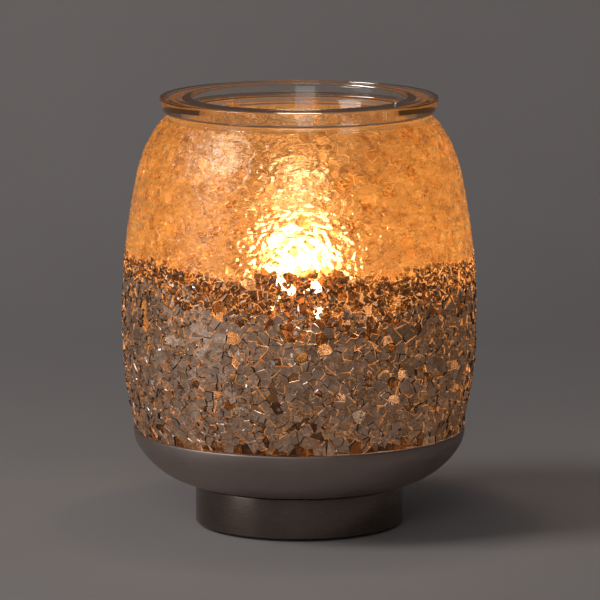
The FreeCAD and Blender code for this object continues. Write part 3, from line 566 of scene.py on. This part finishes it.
def silver_look(name, dark, pale, roughness):
    """Silvered chip: a mirror with patchy tone and dark cracks, and a faint painted glow of the lamp's
    light leaking through, with painted bright glints along thin lines.
    """
    look = Look(name)
    patch = look.noise(240.0, 5.0, 0.65)
    tone = look.blend(look.span(patch, 0.35, 0.68, 0.0, 1.0), dark, pale)
    colour = look.blend(look.crinkle(360.0, 0.03, 0.0, 1.0), rgb(0.10, 0.05, 0.03), tone)
    rough = look.span(look.noise(600.0, 3.0), 0.3, 0.7, roughness * 0.6, roughness * 1.5)
    wave = look.bump(look.noise(420.0, 3.0, distortion=1.2), 0.35, 0.3 * MM)
    return look.finish(look.principled(
        Base_Color=colour, Metallic=1.0, Roughness=rough, Normal=wave, Emission_Color=WARM,
        Emission_Strength=lamp_light(look, 0.05, 0.7, 1.0, 8.0)))


def spark_look():
    """Bare facet of silvered glass."""
    look = Look("spark")
    return look.finish(look.principled(
        Base_Color=rgb(0.93, 0.91, 0.88), Metallic=1.0,
        Roughness=look.span(look.noise(600.0), 0.3, 0.7, 0.04, 0.12)))


def pewter_look(name, grain, dark, pale, roughness):
    """Satin dark metal plate with fine turned grain; grain squeezes the noise along Z."""
    look = Look(name)
    lines = look.noise(1.0, 4.0, 0.6, vector=look.stretch(grain))
    cloud = look.noise(35.0, 4.0, 0.6)
    colour = look.blend(look.span(cloud, 0.3, 0.7, 0.0, 1.0),
                        dark, pale)
    rough = look.math("ADD", look.span(lines, 0.3, 0.7, roughness * 0.8, roughness * 1.2),
                      look.span(cloud, 0.3, 0.7, 0.0, 0.06))
    return look.finish(look.principled(
        Base_Color=colour, Metallic=1.0, Roughness=rough,
        Normal=look.bump(lines, 0.12, 0.05 * MM)))


def plain_look(name, colour, roughness, metallic=0.0, scale=400.0):
    """A moulded or plated surface with a little unevenness in its gloss and tone."""
    look = Look(name)
    speck = look.noise(scale, 4.0, 0.6)
    dark = rgb(*(channel * 0.78 for channel in colour[:3]))
    return look.finish(look.principled(
        Base_Color=look.blend(look.span(speck, 0.3, 0.7, 0.0, 1.0), dark, colour),
        Metallic=metallic,
        Roughness=look.span(speck, 0.3, 0.7, roughness * 0.8, min(roughness * 1.25, 1.0)),
        Normal=look.bump(speck, 0.08, 0.1 * MM)))


def bulb_look():
    """Frosted bulb, lit: brightest round the filament and fading down the neck."""
    look = Look("lit_bulb")
    away = look.math("ABSOLUTE", look.math("SUBTRACT", look.height(), LAMP_Z))
    glow = look.span(away, 0.004, 0.030, 9.0, 0.6)
    return look.finish(look.principled(
        Base_Color=rgb(0.9, 0.86, 0.78), Roughness=0.45,
        Emission_Color=rgb(1.0, 0.72, 0.45), Emission_Strength=glow))


# ---------------------------------------------------------------- turned pieces
def make_shade():
    """Blown barrel under the chips."""
    low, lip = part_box("shade_glass")[0].z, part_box("shade_glass")[1].z
    neck = SHOULDER_AXIS[1] + (SHOULDER_ARC - CHIP_COAT) * math.sin(SHOULDER_TURN)
    deep = CHIP_COAT + SHADE_WALL
    outside = [(barrel(z, CHIP_COAT)[0], z) for z in np.linspace(low, neck, 60)]
    mouth = 43.2 * MM
    throat = SHOULDER_AXIS[1] + math.sqrt((SHOULDER_ARC - deep) ** 2 - (mouth - SHOULDER_AXIS[0]) ** 2)
    inside = [(barrel(z, deep)[0], z) for z in np.linspace(throat, low, 60)]
    edge, rounding = outside[-1][0], 0.8 * MM
    top = arc((edge - rounding, lip - rounding), rounding, 0, 90, 5)
    top += arc((mouth + rounding, lip - rounding), rounding, 90, 180, 5)
    return lathe("shade_barrel", outside + top + inside)


def make_dish():
    """Pressed dish with a broad flange."""
    foot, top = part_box("wax_dish")[0].z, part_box("wax_dish")[1].z
    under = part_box("shade_glass")[1].z
    rim, band, brim, edge = 49.5 * MM, 48.6 * MM, 0.7 * MM, 1.3 * MM
    outline = [(0, foot), (20 * MM, foot), (28.6 * MM, foot)]
    outline += arc((29.2 * MM, foot + 8 * MM), 8 * MM, -88, -8, 12)
    outline += [(41.0 * MM, under - 1.2 * MM), (41.6 * MM, under)]
    outline += arc((band - edge, under + edge), edge, -90, 0, 6)
    outline += arc((rim - brim, top - brim), brim, 0, 90, 6)
    outline += [(44 * MM, top)]
    outline += arc((37.6 * MM + edge, top - edge), edge, 90, 172, 6)
    outline += [(33.7 * MM, foot + 9 * MM)]
    outline += arc((26.3 * MM, foot + 10.5 * MM), 7 * MM, -8, -88, 10)
    outline += [(20 * MM, foot + 3.5 * MM), (0, foot + 3.5 * MM)]
    return lathe("dish", outline, closed=False)


def make_cup():
    """Spun bowl under the shade."""
    rim_r, lip_z, floor_z = 59.1 * MM, 34.4 * MM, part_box("base_cup")[0].z
    wall, lip_arc, bowl_arc = 1.2 * MM, 10 * MM, 28 * MM
    lip_axis = (rim_r - lip_arc, lip_z)
    bowl_axis = (lip_axis[0] - (bowl_arc - lip_arc) * math.cos(math.radians(30)),
                 floor_z + bowl_arc)
    hole = 5.3 * MM
    outline = [(hole, floor_z), (20 * MM, floor_z)]
    outline += arc(bowl_axis, bowl_arc, -90, -30, 24)
    outline += arc(lip_axis, lip_arc, -30, 0, 12)[1:]
    outline += arc((rim_r - 0.5 * MM, lip_z), 0.5 * MM, 0, 90, 4)[1:]
    outline += arc((rim_r - wall + 0.5 * MM, lip_z), 0.5 * MM, 90, 180, 4)
    outline += arc(lip_axis, lip_arc - wall, 0, -30, 12)[1:]
    outline += arc(bowl_axis, bowl_arc - wall, -30, -90, 24)[1:]
    outline += [(20 * MM, floor_z + wall), (hole, floor_z + wall)]
    return lathe("cup", outline)


def make_foot():
    """Drawn foot ring and its top."""
    radius, wall = 37 * MM, 1.2 * MM
    low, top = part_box("foot_can")[0].z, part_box("foot_can")[1].z
    edge = 0.6 * MM
    outline = arc((radius - wall / 2, low + wall / 2), wall / 2, -180, 0, 8)
    outline += arc((radius - edge, top - edge), edge, 0, 90, 4)
    outline += [(5.3 * MM, top), (5.3 * MM, top - wall), (radius - wall, top - wall)]
    return lathe("foot", outline)


def make_bulb():
    """Pygmy bulb, closed at its neck."""
    low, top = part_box("bulb_glass")[0].z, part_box("bulb_glass")[1].z
    full, neck = 14 * MM, 6.9 * MM
    outline = [(0, low), (neck, low), (neck, 67.5 * MM)]
    for step in range(1, 12):
        share = step / 12
        ease = share * share * (3 - 2 * share)
        outline.append((neck + (full - neck) * ease, (67.5 + 13.5 * share) * MM))
    outline += [(full, 81 * MM)]
    outline += arc((0, top - full), full, 0, 90, 20)
    outline[-1] = (0, top)
    return lathe("bulb", outline, 96, closed=False)


# ---------------------------------------------------------------- studio
def make_studio():
    floor_look = Look("studio_floor")
    tone = floor_look.span(floor_look.noise(6.0, 3.0), 0.3, 0.7, 0.0, 1.0)
    floor = floor_look.finish(floor_look.principled(
        Base_Color=floor_look.blend(tone, rgb(0.455, 0.415, 0.405), rgb(0.485, 0.445, 0.435)),
        Roughness=0.65))
    # low rise behind the object: the view from behind clears it
    sweep, flat_to, wide = 0.55, 0.4, 2.6
    outline = [(-1.8, 0.0), (flat_to, 0.0)]
    outline += [(flat_to + sweep * math.sin(math.radians(a)),
                 sweep - sweep * math.cos(math.radians(a))) for a in range(6, 43, 6)]
    verts = [(x, y, z) for y, z in outline for x in (-wide, wide)]
    faces = [(2 * i, 2 * i + 1, 2 * i + 3, 2 * i + 2) for i in range(len(outline) - 1)]
    backdrop = mesh_object("backdrop", verts, faces)
    backdrop.data.materials.append(floor)


def area_light(name, place, aim, size, power, colour=(1, 1, 1)):
    light = bpy.data.lights.new(name, "AREA")
    light.shape = "RECTANGLE"
    light.size, light.size_y = size
    light.energy = power
    light.color = colour
    lamp = bpy.data.objects.new(name, light)
    lamp.location = place
    lamp.rotation_euler = (Vector(aim) - Vector(place)).to_track_quat("-Z", "Y").to_euler()
    bpy.context.scene.collection.objects.link(lamp)
    return lamp


def make_camera():
    camera = bpy.data.cameras.new("camera")
    camera.lens, camera.sensor_width = 304.0, 36.0
    camera.clip_end = 20
    view = bpy.data.objects.new("camera", camera)
    view.location = (0.0003, -1.781, 0.3685)
    view.rotation_euler = (math.radians(90 - 9.19), 0, 0)
    bpy.context.scene.collection.objects.link(view)
    bpy.context.scene.camera = view


def make_world():
    world = bpy.data.worlds.new("world")
    world.use_nodes = True
    world.node_tree.nodes["Background"].inputs["Color"].default_value = rgb(1.0, 0.97, 0.97)
    world.node_tree.nodes["Background"].inputs["Strength"].default_value = 0.055
    bpy.context.scene.world = world


# ---------------------------------------------------------------- put together
make_camera()
make_world()
make_studio()
area_light("key", (-1.1, -0.5, 1.0), (0, 0, 0.06), (0.6, 0.6), 7)
area_light("strip", (-1.3, -0.62, 0.24), (0, 0, 0.03), (0.55, 0.42), 1.0)
area_light("front", (-0.2, -1.7, 0.9), (0, 0, 0.08), (0.7, 0.7), 2.8)
bpy.context.scene.view_settings.view_transform = "Standard"

# dish glass, with a faint painted glow of the lamp's light
clear_glass = lit_glass_look("dish_glass", rgb(0.95, 0.90, 0.85), 0.02, 0.012, ripple=0.0,
                             shine=0.4)
# shade glass with a painted glow of the lamp's light, brightest at the border and fading upwards and,
# more steeply, downwards
barrel_glass = lit_glass_look("barrel_glass", rgb(1.0, 0.96, 0.90), 0.05, 0.085, ripple=0.15,
                              low=0.10)
spark = spark_look()
# dark rim: painted shade on the edges of mirrored and amber chips
painted_shade_rim = plain_look("painted_shade_rim", rgb(0.06, 0.027, 0.015), 0.45)
# amber rim of mirrored chips, painted lit: a painted glow on their edges
lit_amber_rim = lit_glass_look("lit_amber_rim", rgb(0.8, 0.45, 0.2), 0.3, 0.55, rgb(1.0, 0.40, 0.11),
                           low=0.5)
# melted clear chips: a painted glow with thin darker lines and bright painted highlight lines
clear_skin = lit_glass_look("clear_skin", rgb(1.0, 0.80, 0.52), 0.11, 0.071,
                            rgb(1.0, 0.455, 0.095), ripple=1.0,
                            dark=0.2, bright=4.5, crack=rgb(0.25, 0.09, 0.025),
                            squeeze=(0.6, 0.6, 1.25), wide=1.4)
# clear and frosted chips carry the same painted glow
CLEAR_LOOKS = (
    lit_glass_look("clear_chip", rgb(1.0, 0.80, 0.52), 0.14, 0.060, ripple=0.9, dark=0.3,
                   bright=3.0, crack=rgb(0.30, 0.11, 0.03), squeeze=(0.6, 0.6, 1.25)),
    lit_glass_look("frosted_chip", rgb(0.98, 0.77, 0.47), 0.36, 0.060, ripple=0.9, dark=0.3,
                   bright=3.0, crack=rgb(0.30, 0.11, 0.03), squeeze=(0.6, 0.6, 1.25)),
    # painted glint: a small clear chip glowing bright and pale
    lit_glass_look("clear_painted_glint", rgb(1.0, 0.95, 0.85), 0.10, 0.40, PALE_WARM),
    # dim rim of clear chips: painted shade on their edges
    lit_glass_look("clear_rim_painted_shade", rgb(0.70, 0.36, 0.14), 0.3, 0.03),
    # lit rim of clear chips: a painted glow on their edges
    lit_glass_look("clear_lit_rim", rgb(1.0, 0.85, 0.6), 0.3, 0.35, PALE_WARM))
MIRROR_LOOKS = (
    silver_look("silvered_chip", rgb(0.52, 0.385, 0.30), rgb(0.82, 0.66, 0.55), 0.32),
    silver_look("dull_silvered_chip", rgb(0.42, 0.30, 0.225), rgb(0.68, 0.53, 0.43), 0.44),
    spark, painted_shade_rim, lit_amber_rim)
# amber chips: a painted glow with bright painted highlight lines, weaker on the darker ones
AMBER_LOOKS = (
    lit_glass_look("amber_chip", rgb(0.15, 0.045, 0.013), 0.20, 0.14, dark=0.1, bright=7.0,
                   crack=rgb(0.03, 0.012, 0.006)),
    lit_glass_look("dark_amber_chip", rgb(0.05, 0.015, 0.006), 0.30, 0.05, dark=0.1,
                   bright=12.0),
    spark, painted_shade_rim,
    # lit rim of amber chips: a painted glow on their edges
    lit_glass_look("amber_lit_rim", rgb(1.0, 0.6, 0.3), 0.3, 0.60, rgb(1.0, 0.42, 0.12)))
# cup and foot are one pewter: the cup's tone is painted lighter and the foot's darker, to stand in for
# how the studio lights fall on them
cup_metal_painted_lighter = pewter_look("cup_metal_painted_lighter", (120.0, 120.0, 2600.0), rgb(0.385, 0.315, 0.283),
                        rgb(0.47, 0.385, 0.347), 0.46)
foot_metal_painted_darker = pewter_look("foot_metal_painted_darker", (90.0, 90.0, 1800.0), rgb(0.185, 0.143, 0.122),
                         rgb(0.235, 0.185, 0.16), 0.24)

shade = show(make_shade(), "warmer", "shade_glass", barrel_glass, "shade_glass")
dish = show(make_dish(), "dish", "clear_glass", clear_glass, "wax_dish")
show(make_cup(), "warmer", "pewter_metal", cup_metal_painted_lighter, "base_cup")
show(make_foot(), "warmer", "pewter_metal", foot_metal_painted_darker, "foot_can")
show(make_bulb(), "lamp", "bulb_glass", bulb_look(), "bulb_glass")
clear_chips, mirror_chips, amber_chips = lay_chips()
skin = show(make_clear_skin(), "warmer", "clear_chips", clear_skin, "chip_coat_clear")
chips = [
    skin,
    clear_chips.piece("clear_chips", "clear_chips", CLEAR_LOOKS, "chip_coat_clear"),
    mirror_chips.piece("mirror_chips", "mirror_chips", MIRROR_LOOKS, "chip_coat_mirror"),
    amber_chips.piece("amber_chips", "mirror_chips", AMBER_LOOKS, "chip_coat_mirror"),
]
for piece in (shade, dish, skin, chips[1], chips[3]):
    piece.visible_shadow = False
for piece in (shade, *chips):
    piece.visible_diffuse = False
print("chips", [sum(len(face.vertices) - 2 for face in piece.data.polygons) for piece in chips])

FINISHES = {
    "clear_silicone": plain_look("silicone", rgb(0.62, 0.60, 0.56), 0.35),
    "zinc_steel": plain_look("zinc", rgb(0.66, 0.67, 0.69), 0.30, 1.0),
    "brass": plain_look("brass", rgb(0.80, 0.58, 0.27), 0.28, 1.0),
    "black_plastic": plain_look("phenolic", rgb(0.035, 0.034, 0.033), 0.38),
    "white_ceramic": plain_look("steatite", rgb(0.86, 0.85, 0.81), 0.30),
    "black_rubber": plain_look("rubber", rgb(0.035, 0.035, 0.036), 0.75),
    "lead_brown": plain_look("lead_brown", rgb(0.24, 0.10, 0.05), 0.42),
    "lead_blue": plain_look("lead_blue", rgb(0.06, 0.16, 0.42), 0.42),
    "splice_grey": plain_look("nylon", rgb(0.58, 0.58, 0.56), 0.45),
    "lamp_insulator": plain_look("vitrite", rgb(0.03, 0.03, 0.035), 0.12),
    "filament": plain_look("tungsten", rgb(0.75, 0.70, 0.65), 0.4, 1.0),
    "support_wire": plain_look("nickel_wire", rgb(0.55, 0.53, 0.50), 0.3, 1.0),
    "bulb_glass": clear_glass,
}
SLOT_OF = {entry["node"]: entry["material_slot"] for entry in frame["record"]["subparts"]}
for name, node in frame["nodes"].items():
    if SLOT_OF[name] in FINISHES and not node.hide_render:
        node.data.materials.clear()
        node.data.materials.append(FINISHES[SLOT_OF[name]])
